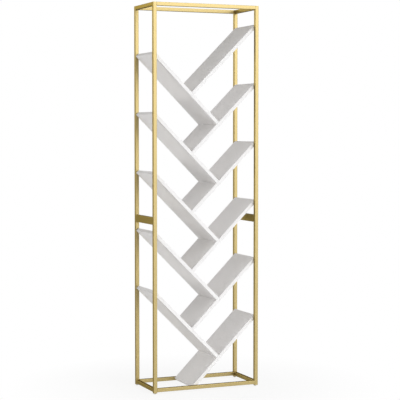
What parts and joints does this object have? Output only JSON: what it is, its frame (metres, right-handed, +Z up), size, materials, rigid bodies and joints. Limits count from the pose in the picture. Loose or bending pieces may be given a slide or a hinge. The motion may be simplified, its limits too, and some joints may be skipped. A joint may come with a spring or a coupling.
{
  "type": "bookcase",
  "caption": "Tall open bookcase of gold square tube with white boards set at 45 degrees in a herringbone, on small levelling feet.",
  "frame": {"origin": "middle of the footprint, on the floor", "axes": "+Z up, the front towards -Y, +X to the right seen from the front"},
  "size_m": [0.53, 0.254, 1.8],
  "materials": {
    "gold_metal": "satin gold coat",
    "white_board": "smooth white melamine face on particle board",
    "foot_plastic": "matte light grey",
    "bare_steel": "zinc plated",
    "dowel_wood": "bare beech"
  },
  "bodies": {
    "bookcase": {"board_left_1": "white_board", "board_left_2": "white_board", "board_left_3": "white_board", "board_left_4": "white_board", "board_left_5": "white_board", "board_pins": "bare_steel", "board_right_1": "white_board", "board_right_2": "white_board", "board_right_3": "white_board", "board_right_4": "white_board", "board_right_5": "white_board", "board_right_6": "white_board", "board_screws": "bare_steel", "dowels": "dowel_wood", "mid_bar_left": "gold_metal", "mid_bar_right": "gold_metal", "post_lower_front_left": "gold_metal", "post_lower_front_right": "gold_metal", "post_lower_rear_left": "gold_metal", "post_lower_rear_right": "gold_metal", "post_upper_front_left": "gold_metal", "post_upper_front_right": "gold_metal", "post_upper_rear_left": "gold_metal", "post_upper_rear_right": "gold_metal", "rail_bolts": "bare_steel", "rail_bottom_front": "gold_metal", "rail_bottom_left": "gold_metal", "rail_bottom_rear": "gold_metal", "rail_bottom_right": "gold_metal", "rail_pins": "bare_steel", "rail_top_front": "gold_metal", "rail_top_left": "gold_metal", "rail_top_rear": "gold_metal", "rail_top_right": "gold_metal", "socket_front_left": "bare_steel", "socket_front_right": "bare_steel", "socket_rear_left": "bare_steel", "socket_rear_right": "bare_steel", "spigot_front_left": "bare_steel", "spigot_front_right": "bare_steel", "spigot_rear_left": "bare_steel", "spigot_rear_right": "bare_steel"},
    "leveller_front_left": {"foot_front_left": "foot_plastic"},
    "leveller_front_right": {"foot_front_right": "foot_plastic"},
    "leveller_rear_left": {"foot_rear_left": "foot_plastic"},
    "leveller_rear_right": {"foot_rear_right": "foot_plastic"}
  },
  "joints": [
    {"name": "level_front_left", "type": "slide", "parent": "bookcase", "child": "leveller_front_left", "axis": [0, 0, -1], "range_m": [0, 0.008]},
    {"name": "level_front_right", "type": "slide", "parent": "bookcase", "child": "leveller_front_right", "axis": [0, 0, -1], "range_m": [0, 0.008]},
    {"name": "level_rear_left", "type": "slide", "parent": "bookcase", "child": "leveller_rear_left", "axis": [0, 0, -1], "range_m": [0, 0.008]},
    {"name": "level_rear_right", "type": "slide", "parent": "bookcase", "child": "leveller_rear_right", "axis": [0, 0, -1], "range_m": [0, 0.008]}
  ]
}
